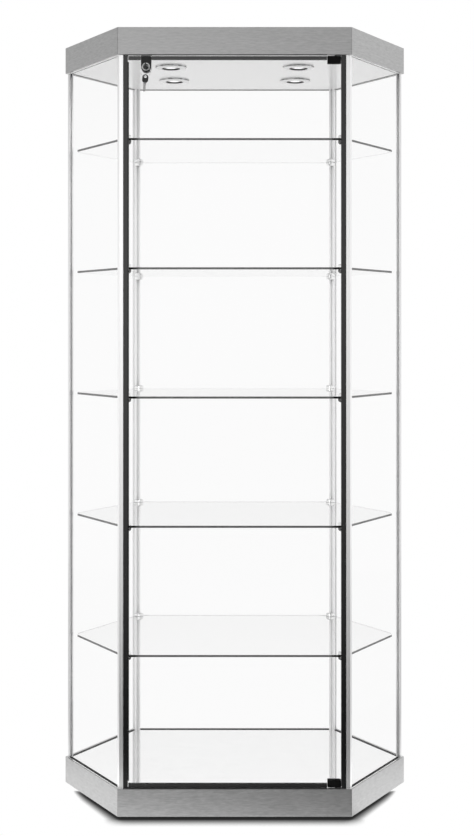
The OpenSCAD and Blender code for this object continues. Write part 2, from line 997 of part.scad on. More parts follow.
// Plug with its keyway and the driver pin that lifts the bolt
module lock_plug() {
  pin = driver_throw * cos(45);
  color(STEEL) translate([lock_cx, 0, plug_z]) {
    difference() {
      translate([0, plug_face, 0]) rotate([-90, 0, 0]) cylinder(r = plug_r, h = plug_len);
      translate([-blade_t / 2, plug_face - eps, -blade_h / 2]) cube([blade_t, blade_len + eps, blade_h]);
    }
    translate([pin, plug_rear, -pin]) rotate([-90, 0, 0]) cylinder(r = driver_r, h = bolt_t + bolt_gap);
  }
}

// Bolt, drawn back, with the slot that the driver pin runs in
module lock_bolt() {
  rest = driver_throw * cos(45);
  slot_x = rest - driver_r - slot_fit;
  slot_w = driver_throw + driver_r + slot_fit - slot_x;
  slot_h = 2 * (driver_r + slot_fit);
  tip = plug_drop - bolt_draw;
  color(STEEL) translate([lock_cx, bolt_y, plug_z]) difference() {
    union() {
      translate([-bolt_half, 0, -bolt_tail]) cube([2 * bolt_half, bolt_t, bolt_tail + bolt_shoulder]);
      translate([-bolt_tip_half, 0, 0]) cube([2 * bolt_tip_half, bolt_t, tip]);
    }
    translate([slot_x, -eps, -rest - slot_h / 2]) cube([slot_w, bolt_t + 2 * eps, slot_h]);
  }
}

module strike_blank(below) {
  translate([lock_cx - bolt_tip_half - strike_end, bolt_y - strike_side, ceiling_z - below])
    cube([2 * (bolt_tip_half + strike_end), bolt_t + 2 * strike_side, strike_t + below]);
}

module lock_strike() {
  color(STEEL) difference() {
    strike_blank(0);
    translate([lock_cx - bolt_tip_half - strike_fit, bolt_y - strike_fit, ceiling_z - eps])
      cube([2 * (bolt_tip_half + strike_fit), bolt_t + 2 * strike_fit, strike_t + 2 * eps]);
  }
}

// A key lying along -y from its shoulder at the origin, flat across x, with its blade along +y
module key_shape() {
  difference() {
    union() {
      translate([-blade_t / 2, 0, -blade_h / 2]) cube([blade_t, blade_len, blade_h]);
      translate([-bow_t / 2, -bow_gap - bow_len, 0]) rotate([0, 90, 0]) linear_extrude(bow_t) union() {
        translate([0, bow_half]) circle(r = bow_half);
        translate([-bow_half, bow_half]) square([2 * bow_half, bow_len - 2 * bow_half]);
        translate([0, bow_len - bow_half]) circle(r = bow_half);
      }
      translate([-blade_t / 2, -bow_gap - neck, -blade_h / 2]) cube([blade_t, bow_gap + neck, blade_h]);
    }
    translate([-bow_t, hole_from_end - bow_gap - bow_len, 0]) rotate([0, 90, 0])
      cylinder(r = hole_r, h = 2 * bow_t);
  }
}

module key() {
  color(BLACK) translate([lock_cx, plug_face, plug_z]) key_shape();
}

module key_ring() {
  color(STEEL) translate([lock_cx, hole_y, plug_z - ring_r]) rotate(ring_turn) rotate([90, 0, 0])
    rotate_extrude() translate([ring_r, 0]) circle(r = wire_r);
}

module spare_key() {
  color(BLACK) translate([lock_cx, hole_y, plug_z - 2 * ring_r])
    rotate([0, spare_tilt, 0]) rotate(spare_turn) rotate([-90, 0, 0])
      translate([0, bow_gap + bow_len - hole_from_end, 0]) key_shape();
}

base_fascia();
base_deck();
base_floor_board();
base_blocks();
foot_pads();
foot_studs();
foot_nuts();
posts_front();
posts_side();
posts_back();
post_screws();
glass_front_left();
glass_front_right();
glass_back_left();
glass_back_right();
glass_back();
glazing_bottom();
glazing_top();
jamb_seal_left();
jamb_seal_right();
shelf_1();
shelf_2();
shelf_3();
shelf_4();
shelf_5();
shelf_1_clamps();
shelf_2_clamps();
shelf_3_clamps();
shelf_4_clamps();
shelf_5_clamps();
shelf_1_screws();
shelf_2_screws();
shelf_3_screws();
shelf_4_screws();
shelf_5_screws();
cap_fascia();
ceiling_board();
cap_top_board();
cable_grommet();
lamp_bezels();
lamp_housings();
lamp_lenses();
lamp_bulbs();
transformer();
lamp_leads();
door_glass();
door_edge_seals();
hinge_clamps();
hinge_pins();
hinge_bushes();
door_screws();
lock_case();
lock_collar();
lock_back();
lock_plug();
lock_bolt();
lock_strike();
key();
key_ring();
spare_key();
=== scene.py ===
import math

import bmesh
import bpy
from mathutils import Matrix, Vector


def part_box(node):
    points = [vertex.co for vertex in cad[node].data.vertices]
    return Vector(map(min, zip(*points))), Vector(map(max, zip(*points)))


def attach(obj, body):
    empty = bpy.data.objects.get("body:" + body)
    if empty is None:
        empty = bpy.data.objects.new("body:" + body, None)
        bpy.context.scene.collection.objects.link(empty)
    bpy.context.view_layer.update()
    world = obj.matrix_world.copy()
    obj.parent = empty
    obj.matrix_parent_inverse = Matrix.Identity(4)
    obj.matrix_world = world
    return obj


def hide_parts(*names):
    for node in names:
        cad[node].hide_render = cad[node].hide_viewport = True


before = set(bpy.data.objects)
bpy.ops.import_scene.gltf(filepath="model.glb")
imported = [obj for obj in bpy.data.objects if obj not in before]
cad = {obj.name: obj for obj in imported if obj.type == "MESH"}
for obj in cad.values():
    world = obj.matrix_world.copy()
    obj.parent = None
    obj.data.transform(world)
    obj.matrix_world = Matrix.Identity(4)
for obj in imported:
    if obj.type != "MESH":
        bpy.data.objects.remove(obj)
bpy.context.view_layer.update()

# Base and cap bands: twelve strips of aluminium sheet, glued round the boards and mitred at the corners.
# The sheet was drawn under an abrasive belt, so its grain runs level along every strip.
MM = 0.001


def colour(code):
    """An sRGB hex value as linear RGBA."""
    parts = [int(code[i:i + 2], 16) / 255 for i in (1, 3, 5)]
    return [p / 12.92 if p <= 0.04045 else ((p + 0.055) / 1.055) ** 2.4 for p in parts] + [1.0]


def new_material(name):
    """A material with one Principled shader: the material, its node tree and the shader."""
    made = bpy.data.materials.new(name)
    made.use_nodes = True
    return made, made.node_tree, made.node_tree.nodes["Principled BSDF"]


def add(tree, kind, inputs=None, **settings):
    """Adds a node with its settings. Inputs maps a socket to a value, or to the output that feeds it."""
    made = tree.nodes.new(kind)
    for name, value in settings.items():
        setattr(made, name, value)
    connect(tree, made, inputs or {})
    return made


def connect(tree, made, inputs):
    """Feeds a node's inputs: each takes a value, or a link from the output that is given for it."""
    for name, value in inputs.items():
        if isinstance(value, bpy.types.NodeSocket):
            tree.links.new(value, made.inputs[name])
        else:
            made.inputs[name].default_value = value


def spot_in(tree):
    """Where a shaded point lies in the frame, as a vector."""
    return add(tree, "ShaderNodeTexCoord").outputs["Object"]


def noise(tree, spot, size, detail=2.0):
    """Soft random patches of a size, from 0 to 1."""
    made = add(tree, "ShaderNodeTexNoise", {"Vector": spot, "Scale": 1 / size, "Detail": detail})
    return made.outputs["Fac"]


def streaks(tree, spot, level, tall, detail):
    """Soft random streaks of a length on the level and a height, from 0 to 1."""
    made = add(tree, "ShaderNodeMapping", {"Vector": spot, "Scale": (1 / level, 1 / level, 1 / tall)})
    return noise(tree, made.outputs["Vector"], 1.0, detail)


def between(tree, value, low=0.0, high=1.0, start=0.0, end=1.0, **settings):
    """A number that runs from low to high while a value runs from start to end."""
    made = add(tree, "ShaderNodeMapRange", {
        "Value": value, "From Min": start, "From Max": end, "To Min": low, "To Max": high,
    }, **settings)
    return made.outputs["Result"]


def blend(tree, share, low, high, **settings):
    """A colour that runs from low to high while a share runs from 0 to 1."""
    made = add(tree, "ShaderNodeMix", {"Factor": share, "A": low, "B": high}, data_type="RGBA", **settings)
    return made.outputs["Result"]


def bumps(tree, height, strength, deep, **inputs):
    """The normal of a face whose height, a value from 0 to 1, spans a depth."""
    made = add(tree, "ShaderNodeBump", {"Height": height, "Strength": strength, "Distance": deep, **inputs})
    return made.outputs["Normal"]


def paint(made, *names):
    """Gives CAD nodes a material."""
    for name in names:
        cad[name].material_slots[0].material = made


# Brushed aluminium: long fine scratches with short dashes among them, which blur what it mirrors. The real
# ones are about 0.1 mm wide and wouldn't show, so they are drawn 0.8 and 2.8 mm tall.
SCRATCH_TALL = 0.8 * MM
SCRATCH_LONG = 140 * MM
DASH_TALL = 2.8 * MM
DASH_LONG = 14 * MM
DASH_SHARE = 0.65
SCRATCH_DEEP = 0.1 * MM
FOLD = 0.8 * MM
brushed, tree, shader = new_material("brushed_aluminium")
spot = spot_in(tree)
scratches = streaks(tree, spot, SCRATCH_LONG, SCRATCH_TALL, 4.0)
dashes = streaks(tree, spot, DASH_LONG, DASH_TALL, 2.0)
grain = add(tree, "ShaderNodeMix", {"Factor": DASH_SHARE, "A": scratches, "B": dashes}).outputs["Result"]
folded = add(tree, "ShaderNodeBevel", {"Radius": FOLD}, samples=4)
connect(tree, shader, {
    "Base Color": blend(tree, grain, colour("#8e8e8e"), colour("#d8d8d8")),
    "Metallic": 1.0,
    "Roughness": between(tree, grain, 0.32, 0.44, start=0.3, end=0.7),
    "Normal": bumps(tree, scratches, 0.25, SCRATCH_DEEP, Normal=folded.outputs["Normal"]),
})
paint(brushed, "base_fascia", "cap_fascia")

# Boards: chipboard, faced with pale melamine on the ceiling, grey on top, and a mirror sheet on the deck.
# The closing board and the corner blocks underneath are left bare.
SPECKLE = 0.9 * MM
SPECKLE_DEEP = 0.05 * MM


def melamine(name, dark, light, rough):
    """Pressed decor paper under resin: an even face with a faint speckle and a soft gloss."""
    made, tree, shader = new_material(name)
    speckle = noise(tree, spot_in(tree), SPECKLE)
    connect(tree, shader, {
        "Base Color": blend(tree, speckle, colour(dark), colour(light), name="decor"),
        "Roughness": rough,
        "Normal": bumps(tree, speckle, 0.08, SPECKLE_DEEP),
    })
    return made


pale_board = melamine("pale_melamine", "#e2e2e2", "#eeeeee", rough=0.16)
paint(pale_board, "ceiling_board")
paint(melamine("grey_melamine", "#8e8e8e", "#9b9b9b", rough=0.38), "cap_top_board")

# Ceiling rim: outside the panes the board is painted white, a painted light that lifts the shade on it.
# The rim is found by the distance from the middle, out to the front or to the angled sides.
HALF_FRONT = 270 * MM
HALF_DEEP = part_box("base_fascia")[1].y
PANE_IN = 8.5 * MM
SIDE_TURN = math.radians(60)
SIDE_OUT = math.sin(SIDE_TURN) * HALF_FRONT + math.cos(SIDE_TURN) * HALF_DEEP


def reckon(tree, operation, *values):
    """What a Math node makes of numbers."""
    return add(tree, "ShaderNodeMath", dict(enumerate(values)), operation=operation).outputs["Value"]


def vector(tree, operation, *values):
    """What a Vector Math node makes of vectors, axis by axis."""
    return add(tree, "ShaderNodeVectorMath", dict(enumerate(values)), operation=operation).outputs["Vector"]


def along(tree, first, second):
    """How far one vector reaches along another."""
    made = add(tree, "ShaderNodeVectorMath", {0: first, 1: second}, operation="DOT_PRODUCT")
    return made.outputs["Value"]


tree = pale_board.node_tree
spot = vector(tree, "ABSOLUTE", spot_in(tree))
to_side = along(tree, spot, (math.sin(SIDE_TURN), math.cos(SIDE_TURN), 0))
to_front = along(tree, spot, (0, 1, 0))
past_side = reckon(tree, "GREATER_THAN", to_side, SIDE_OUT - PANE_IN)
past_front = reckon(tree, "GREATER_THAN", to_front, HALF_DEEP - PANE_IN)
on_rim = reckon(tree, "MAXIMUM", past_side, past_front)
rim_lightened = blend(tree, on_rim, tree.nodes["decor"].outputs["Result"], colour("#ffffff"))
connect(tree, tree.nodes["Principled BSDF"], {"Base Color": rim_lightened})

# Mirror laminate: an aluminium foil under clear film, pressed on the deck. It mirrors the back posts, only a
# little blurred by the board's texture.
CLOUD = 30 * MM
mirror, tree, shader = new_material("mirror_laminate")
cloud = noise(tree, spot_in(tree), CLOUD)
connect(tree, shader, {
    "Base Color": blend(tree, cloud, colour("#f4f4f4"), colour("#fafafa")),
    "Metallic": 0.9,
    "Roughness": between(tree, cloud, 0.02, 0.06),
})
paint(mirror, "base_deck")

# Bare chipboard: pressed brown wood chips, rough and unfaced. The closing board and the blocks over the feet
# are sawn from it, and it shows only from below.
CHIP = 4 * MM
chipboard, tree, shader = new_material("bare_chipboard")
chips = add(tree, "ShaderNodeTexVoronoi", {"Vector": spot_in(tree), "Scale": 1 / CHIP}).outputs["Distance"]
connect(tree, shader, {
    "Base Color": blend(tree, chips, colour("#c9ae84"), colour("#8f7650")),
    "Roughness": 0.85,
})
paint(chipboard, "base_floor_board", "base_blocks")

# Posts: six lengths of anodised aluminium extrusion. Drawing it through the die leaves faint lines up and
# down, and the anodised skin is satin. The side ones are a darker copy, painted shade, and the back ones a
# paler, less metallic copy with a faint glow, painted light.
DIE_LINE = 0.8 * MM
DIE_LONG = 900 * MM


def anodised(name, dark, light, metal, painted_glow=0.0):
    """Etched and anodised aluminium: a satin skin over the die lines, whiter where it is etched more."""
    made, tree, shader = new_material(name)
    lines = streaks(tree, spot_in(tree), DIE_LINE, DIE_LONG, 2.0)
    tone = blend(tree, lines, colour(dark), colour(light))
    connect(tree, shader, {
        "Base Color": tone,
        "Metallic": metal,
        "Roughness": between(tree, lines, 0.26, 0.36, start=0.3, end=0.7),
        "Emission Color": tone,
        "Emission Strength": painted_glow,
    })
    return made


paint(anodised("anodised_aluminium", "#f6f6f6", "#fdfdfd", metal=0.85), "posts_front")
paint(anodised("painted_shade_anodised_aluminium", "#e2e2e2", "#eaeaea", metal=0.85), "posts_side")
paint(anodised("painted_light_anodised_aluminium", "#fafafa", "#ffffff", metal=0.3, painted_glow=0.03), "posts_back")

# Screws, nuts, studs, pins, strike and bolt: pressed and turned steel, zinc-plated. The plate is a dull,
# slightly patchy grey coat.
PATCH = 3 * MM
zinc, tree, shader = new_material("zinc_plated_steel")
patches = noise(tree, spot_in(tree), PATCH, 3.0)
connect(tree, shader, {
    "Base Color": blend(tree, patches, colour("#8c8d90"), colour("#b4b5b8")),
    "Metallic": 1.0,
    "Roughness": 0.34,
})
paint(zinc, "post_screws", "foot_studs", "foot_nuts", "lock_strike", "lock_bolt", "hinge_pins", "door_screws")

# Panes, door and shelves: clear float glass with ground and polished edges. It takes almost no light through
# its faces, and turns grey along the sheet, so the edges are drawn as a skin: dark where they are free, and
# pale where they lie in a groove, a painted reflection of the groove's metal.
FACE_SHARE = 0.5
PANE_IOR = 1.08
SHELF_IOR = 1.45


def either(tree, share, first, second):
    """The first shader where a share is 0, and the second where it is 1."""
    return add(tree, "ShaderNodeMixShader", {0: share, 1: first, 2: second}).outputs["Shader"]


def float_glass(name, facing, ior, edge):
    """Clear glass for sheets whose faces look along facing. Lamps and soft light pass straight through."""
    made, tree, shader = new_material(name)
    outward = add(tree, "ShaderNodeTexCoord").outputs["Normal"]
    share = reckon(tree, "ABSOLUTE", along(tree, outward, facing))
    face = reckon(tree, "GREATER_THAN", share, FACE_SHARE)
    connect(tree, shader, {
        "Base Color": blend(tree, face, colour(edge), colour("#fdfdfd"), name="edge_or_face"),
        "Roughness": 0.0,
        "IOR": ior,
        "Transmission Weight": face,
    })
    rays = add(tree, "ShaderNodeLightPath").outputs
    soft = reckon(tree, "MAXIMUM", rays["Is Shadow Ray"], rays["Is Diffuse Ray"])
    clear = add(tree, "ShaderNodeBsdfTransparent", {"Color": colour("#ffffff")})
    glass = either(tree, soft, shader.outputs["BSDF"], clear.outputs["BSDF"])
    connect(tree, tree.nodes["Material Output"], {"Surface": glass})
    return made


leaning = (math.sin(SIDE_TURN), math.cos(SIDE_TURN), 0)
opposed = (math.sin(SIDE_TURN), -math.cos(SIDE_TURN), 0)
paint(float_glass("float_glass_door", (0, 1, 0), PANE_IOR, "#5e5e5e"), "door_glass")
# The back panes' pale edges are a painted reflection of the back posts' metal.
paint(float_glass("float_glass_back", (0, 1, 0), PANE_IOR, "#f8f8f8"), "glass_back")
paint(float_glass("float_glass_back_left", opposed, PANE_IOR, "#f8f8f8"), "glass_back_left")
paint(float_glass("float_glass_back_right", leaning, PANE_IOR, "#f8f8f8"), "glass_back_right")

# Front panes: the same glass, set in the front and side posts. Their edges are pale in the posts' grooves, a
# painted reflection of the metal, and dark at the head, a painted shade where they enter the channel under
# the cap.
EDGE_SHADE_BY_HEIGHT = ((1750 * MM, 0.527), (1760 * MM, 0.05))


def coordinates(tree):
    """Where a shaded point lies in the frame, as X, Y and Z."""
    return add(tree, "ShaderNodeSeparateXYZ", {"Vector": spot_in(tree)}).outputs


def grey_along(tree, value, low, high, *stops):
    """A grey level that runs through (place, level) stops as a value goes from low to high."""
    ramp = add(tree, "ShaderNodeValToRGB", {"Fac": between(tree, value, start=low, end=high)})
    points = ramp.color_ramp.elements
    while len(points) < len(stops):
        points.new(0.5)
    for point, (at, tone) in zip(points, stops):
        point.position = (at - low) / (high - low)
        point.color = (tone, tone, tone, 1)
    return ramp.outputs["Color"]


for side, facing in {"left": leaning, "right": opposed}.items():
    pane = float_glass(f"float_glass_front_{side}", facing, PANE_IOR, "#c0c0c0")
    tree = pane.node_tree
    edge_grey = grey_along(tree, coordinates(tree)["Z"], 0, 2, *EDGE_SHADE_BY_HEIGHT)
    connect(tree, tree.nodes["edge_or_face"], {"A": edge_grey})
    paint(pane, f"glass_front_{side}")

# Shelves: level sheets of the same glass, held by clamps. Their edges are dark at the front and paler towards
# the back, and painted shade turns them black, and takes their shine, at the clamps and seals.
SHELVES = range(1, 6)
SPAN_DEEP = 300 * MM
SPAN_WIDE = 450 * MM
EDGE_FRONT_TO_BACK = ((-30 * MM, 0.112), (30 * MM, 0.6))
BY_CLAMPS = (222 * MM, 232 * MM, 262 * MM, 275 * MM)
EDGE_TONE = (1.0, 0.1, 0.1, 1.0)
EDGE_SHINE = (0.5, 0.0, 0.0, 0.5)
shelf_glass = float_glass("float_glass_level", (0, 0, 1), SHELF_IOR, "#5e5e5e")
tree = shelf_glass.node_tree
at = coordinates(tree)
off_centre = reckon(tree, "ABSOLUTE", at["X"])
edge_grey = grey_along(tree, at["Y"], -SPAN_DEEP, SPAN_DEEP, *EDGE_FRONT_TO_BACK)
shaded = grey_along(tree, off_centre, 0, SPAN_WIDE, *zip(BY_CLAMPS, EDGE_TONE))
connect(tree, tree.nodes["edge_or_face"], {"A": vector(tree, "MULTIPLY", edge_grey, shaded)})
mirroring = grey_along(tree, off_centre, 0, SPAN_WIDE, *zip(BY_CLAMPS, EDGE_SHINE))
connect(tree, tree.nodes["Principled BSDF"], {"Specular IOR Level": mirroring})
paint(shelf_glass, *[f"shelf_{n}" for n in SHELVES])

# Rubber: the door's seals, the jamb seals and the channels under the panes are extruded EPDM, and the grommet
# is moulded. They are pressed into place, and a faint bloom makes the black patchy.
BLOOM = 14 * MM


def rubber(name, dark, light, rough, shine):
    """Extruded rubber: an even dark skin with a patchy bloom."""
    made, tree, shader = new_material(name)
    bloom = noise(tree, spot_in(tree), BLOOM, 4.0)
    connect(tree, shader, {
        "Base Color": blend(tree, bloom, colour(dark), colour(light)),
        "Roughness": rough,
        "Specular IOR Level": shine,
    })
    return made


black_rubber = rubber("black_rubber", "#080808", "#141414", rough=0.26, shine=0.8)
# The jamb seals take a copy with less shine and a darker bloom: painted shade.
shaded_seal_rubber = rubber("black_seal_rubber", "#080808", "#121212", rough=0.26, shine=0.58)
channel_rubber = rubber("dark_channel_rubber", "#2a2a2a", "#3a3a3a", rough=0.55, shine=0.5)
paint(black_rubber, "door_edge_seals", "cable_grommet")
paint(shaded_seal_rubber, "jamb_seal_left", "jamb_seal_right")
paint(channel_rubber, "glazing_bottom")

# Channel vinyl: the upper channels are extruded with a white outer lip and a dark inner one, paler along the
# back; the dark inner lip is painted shade. They are pressed over the heads of the panes.
OUTER_FACING = -0.01
INNER_SHADE_BY_DEPTH = ((220 * MM, 0.03), (240 * MM, 0.16))
vinyl, tree, shader = new_material("vinyl_with_painted_shade")
here = add(tree, "ShaderNodeTexCoord").outputs
level_spot = vector(tree, "MULTIPLY", here["Object"], (1, 1, 0))
outer = reckon(tree, "GREATER_THAN", along(tree, level_spot, here["Normal"]), OUTER_FACING)
bloom = noise(tree, here["Object"], BLOOM, 4.0)
pale = blend(tree, bloom, colour("#fafafa"), colour("#ffffff"))
at = add(tree, "ShaderNodeSeparateXYZ", {"Vector": here["Object"]}).outputs
inner_shade = grey_along(tree, at["Y"], -SPAN_DEEP, SPAN_DEEP, *INNER_SHADE_BY_DEPTH)
connect(tree, shader, {"Base Color": blend(tree, outer, inner_shade, pale), "Roughness": 0.55})
paint(vinyl, "glazing_top")

# Shelf clamps: die-cast zinc jaws with a rounded nose, polished and chromed. A bolt in the post's channel
# carries each one, and a grub screw from below grips the shelf in its slot.
CLAMP_W = 20 * MM
CLAMP_LEN = 20 * MM
CLAMP_SEAT = 3.6 * MM
JAW_UP = 8 * MM
JAW_DOWN = 9 * MM
SHELF_T = 5 * MM
GRUB_BORE = 2.6 * MM
CLAMP_TOP_ROUND = 3.2 * MM
CLAMP_FOOT_ROUND = 6 * MM
CLAMP_EDGE = 0.5 * MM
CLAMP_NOSE = 0.49 * CLAMP_W


def pick(kind, test):
    """In edit mode, selects only the VERT, EDGE or FACE items that pass a test."""
    bpy.ops.mesh.select_mode(type=kind)
    bpy.ops.mesh.select_all(action="DESELECT")
    shape = bmesh.from_edit_mesh(bpy.context.object.data)
    for item in {"VERT": shape.verts, "EDGE": shape.edges, "FACE": shape.faces}[kind]:
        if test(item):
            item.select_set(True)
    bmesh.update_edit_mesh(bpy.context.object.data)


def block(low, high):
    """A cuboid between two corners, as the active object."""
    low, high = Vector(low), Vector(high)
    bpy.ops.object.select_all(action="DESELECT")
    bpy.ops.mesh.primitive_cube_add(size=1, location=(low + high) / 2)
    made = bpy.context.object
    made.scale = high - low
    bpy.ops.object.transform_apply(location=True, rotation=True, scale=True)
    return made


def rod(radius, length, at, turned=(0, 0, 0), sides=48):
    """A cylinder about a point, as the active object."""
    bpy.ops.object.select_all(action="DESELECT")
    bpy.ops.mesh.primitive_cylinder_add(
        vertices=sides, radius=radius, depth=length, location=at, rotation=turned)
    bpy.ops.object.transform_apply(location=True, rotation=True, scale=True)
    return bpy.context.object


def shape_by(piece, kind, **settings):
    """Adds a modifier to a piece and applies it."""
    bpy.ops.object.select_all(action="DESELECT")
    bpy.context.view_layer.objects.active = piece
    piece.select_set(True)
    change = piece.modifiers.new(kind.lower(), kind)
    for name, value in settings.items():
        setattr(change, name, value)
    bpy.ops.object.modifier_apply(modifier=change.name)


def cut(piece, tool):
    """Takes the tool's shape out of the piece and removes the tool."""
    shape_by(piece, "BOOLEAN", object=tool, operation="DIFFERENCE", solver="EXACT")
    bpy.data.objects.remove(tool)


SHARP = math.radians(40)
SMOOTH = math.radians(32)


def soften(piece, width):
    """Rounds a piece's sharp edges and shades the rest smooth."""
    shape_by(piece, "BEVEL", width=width, segments=3, limit_method="ANGLE", angle_limit=SHARP)
    bpy.ops.object.shade_smooth_by_angle(angle=SMOOTH)


def place(model, *places):
    """One piece made of copies of a model, one at each place."""
    bpy.ops.object.select_all(action="DESELECT")
    for where in places:
        copy = model.copy()
        copy.data = model.data.copy()
        bpy.context.scene.collection.objects.link(copy)
        copy.matrix_world = where
        copy.select_set(True)
        bpy.context.view_layer.objects.active = copy
    bpy.ops.object.transform_apply(location=True, rotation=True, scale=True)
    if len(places) > 1:
        bpy.ops.object.join()
    return bpy.context.object


def fit(piece, name, made, body, slot, *nodes):
    """Names and paints a new piece, and makes it ride on a body in the place of CAD nodes."""
    piece.name = name
    piece.data.name = name
    piece.data.materials.clear()
    piece.data.materials.append(made)
    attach(piece, body)
    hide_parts(*nodes)


TINY = 0.01 * MM
CLAMP_HIGH = SHELF_T + JAW_UP
clamp = block((-CLAMP_W / 2, 0, -JAW_DOWN), (CLAMP_W / 2, CLAMP_LEN, CLAMP_HIGH))
bpy.ops.object.mode_set(mode="EDIT")
pick("EDGE", lambda edge: all(v.co.y > CLAMP_LEN / 2 for v in edge.verts)
     and abs(edge.verts[0].co.z - edge.verts[1].co.z) > TINY)
bpy.ops.mesh.bevel(offset=CLAMP_NOSE, segments=12, affect="EDGES")
pick("EDGE", lambda edge: all(v.co.z > CLAMP_HIGH - TINY for v in edge.verts)
     and any(v.co.y > TINY for v in edge.verts))
bpy.ops.mesh.bevel(offset=CLAMP_TOP_ROUND, segments=5, affect="EDGES")
pick("EDGE", lambda edge: all(v.co.z < TINY - JAW_DOWN for v in edge.verts)
     and any(v.co.y > TINY for v in edge.verts))
bpy.ops.mesh.bevel(offset=CLAMP_FOOT_ROUND, segments=8, affect="EDGES")
bpy.ops.object.mode_set(mode="OBJECT")
cut(clamp, block((-CLAMP_W, CLAMP_SEAT, 0), (CLAMP_W, 2 * CLAMP_LEN, SHELF_T)))
cut(clamp, rod(GRUB_BORE, JAW_DOWN, (0, CLAMP_LEN - CLAMP_W / 2, -JAW_DOWN / 2 - MM), sides=32))
soften(clamp, CLAMP_EDGE)
shape_by(clamp, "WEIGHTED_NORMAL", keep_sharp=True)

# Clamp plating: bright chrome, with painted shade that turns the lower jaws of the front clamps black beside
# the seals. They are found by their depth and by their height from the nearest shelf.
BRIGHT_CHROME = 0.9
SHADED_CHROME = 0.09
JAW_SHADE_BY_DEPTH = ((-10 * MM, SHADED_CHROME), (10 * MM, BRIGHT_CHROME))
JAW_SHADE_EDGE = 0.5 * MM


def chromed(name):
    """Polished chrome: a near-white mirror, clouded a little where it was buffed."""
    made, tree, shader = new_material(name)
    swirl = noise(tree, spot_in(tree), PATCH)
    connect(tree, shader, {
        "Base Color": colour("#f4f4f4"), "Metallic": 1.0, "Roughness": between(tree, swirl, 0.1, 0.2),
    })
    return made


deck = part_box("base_deck")[1].z
shelf_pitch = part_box("shelf_1")[0].z - deck
half_pitch = shelf_pitch / 2
clamp_chrome_and_shade = chromed("bright_chrome_and_painted_shade")
tree = clamp_chrome_and_shade.node_tree
at = coordinates(tree)
raised = reckon(tree, "ADD", at["Z"], half_pitch - deck)
over_last = reckon(tree, "MODULO", raised, shelf_pitch)
by_depth = grey_along(tree, at["Y"], -SPAN_DEEP, SPAN_DEEP, *JAW_SHADE_BY_DEPTH)
jaw_shade_stops = ((half_pitch - JAW_SHADE_EDGE, 0.0), (half_pitch + JAW_SHADE_EDGE, BRIGHT_CHROME))
by_level = grey_along(tree, over_last, 0, shelf_pitch, *jaw_shade_stops)
jaw_shade = vector(tree, "MAXIMUM", by_depth, by_level)
connect(tree, tree.nodes["Principled BSDF"], {"Base Color": jaw_shade})

# Clamp places: four to a shelf, bolted inside the corners of the front and the back, and each turned to the
# middle of its corner.
CLAMP_BACK = 28.577 * MM
CORNER_TURNS = {(-1, -1): -30, (1, -1): 30, (1, 1): 150, (-1, 1): -150}
for n in SHELVES:
    shelf_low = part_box(f"shelf_{n}")[0].z
    corners = [
        Matrix.Translation((sign_x * HALF_FRONT, sign_y * HALF_DEEP, shelf_low))
        @ Matrix.Rotation(math.radians(turn), 4, "Z")
        @ Matrix.Translation((0, CLAMP_BACK, 0))
        for (sign_x, sign_y), turn in CORNER_TURNS.items()
    ]
    jaws = place(clamp, *corners)
    fit(jaws, f"shelf_{n}_jaws", clamp_chrome_and_shade, f"shelf_{n}", "bright_steel", f"shelf_{n}_clamps")
bpy.data.objects.remove(clamp)

# Clamp screws: steel bolts in the posts' channels, and grub screws that grip the shelves from below. They are
# blacked in hot oxide and oiled.
oxide, tree, shader = new_material("blacked_steel")
oily = noise(tree, spot_in(tree), PATCH, 3.0)
connect(tree, shader, {
    "Base Color": colour("#1c1c1e"), "Metallic": 0.8, "Roughness": between(tree, oily, 0.3, 0.5),
})
paint(oxide, *[f"shelf_{n}_screws" for n in SHELVES])

# Door head: a thin black strip on the ceiling board, just in front of the door's top edge, put there as
# painted shade over the gap above the door. It runs between the left seal and the upper hinge.
HEAD_LEFT = -246.9 * MM
HEAD_RIGHT = 213.7 * MM
HEAD_FRONT = -258.6 * MM
HEAD_BACK = -251.5 * MM
HEAD_T = 0.9 * MM
HEAD_EDGE = 0.2 * MM
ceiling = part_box("ceiling_board")[0].z
head = block((HEAD_LEFT, HEAD_FRONT, ceiling - HEAD_T), (HEAD_RIGHT, HEAD_BACK, ceiling))
soften(head, HEAD_EDGE)
fit(head, "door_head_shade_strip", black_rubber, "cabinet", "black_rubber")

# Lamps: zinc-plated cans pressed into the ceiling, with spun bezels, frosted lenses and small ceramic bulbs,
# fed by sheathed leads from a transformer that lies out of sight in the cap.
PEEL = 2.5 * MM
PEEL_DEEP = 0.05 * MM


def enamel(name, shade, rough, shine=0.5):
    """Sprayed enamel: one even colour, with the shallow ripple that spray leaves."""
    made, tree, shader = new_material(name)
    ripple = noise(tree, spot_in(tree), PEEL, 1.0)
    connect(tree, shader, {
        "Base Color": colour(shade),
        "Roughness": rough,
        "Specular IOR Level": shine,
        "Normal": bumps(tree, ripple, 0.1, PEEL_DEEP),
    })
    return made


paint(enamel("white_cable_sheath", "#dcdcdc", rough=0.4), "lamp_leads")
paint(enamel("white_ceramic", "#f2efe8", rough=0.25), "lamp_bulbs")
paint(zinc, "lamp_housings")

# Bezels: spun steel in satin nickel, clipped over the cans. Their level faces are pale, their outer walls
# darker with patches of painted reflection, and their inner walls dark with painted shade.
REFLECTION_PATCH = 14 * MM
LAMP_X = 154 * MM
LAMP_Y = 96 * MM


def from_axis(tree, spot):
    """The level way from the nearest lamp's axis to a point, in the quarter where X and Y are positive."""
    away = vector(tree, "SUBTRACT", vector(tree, "ABSOLUTE", spot), (LAMP_X, LAMP_Y, 0))
    return vector(tree, "MULTIPLY", away, (1, 1, 0))


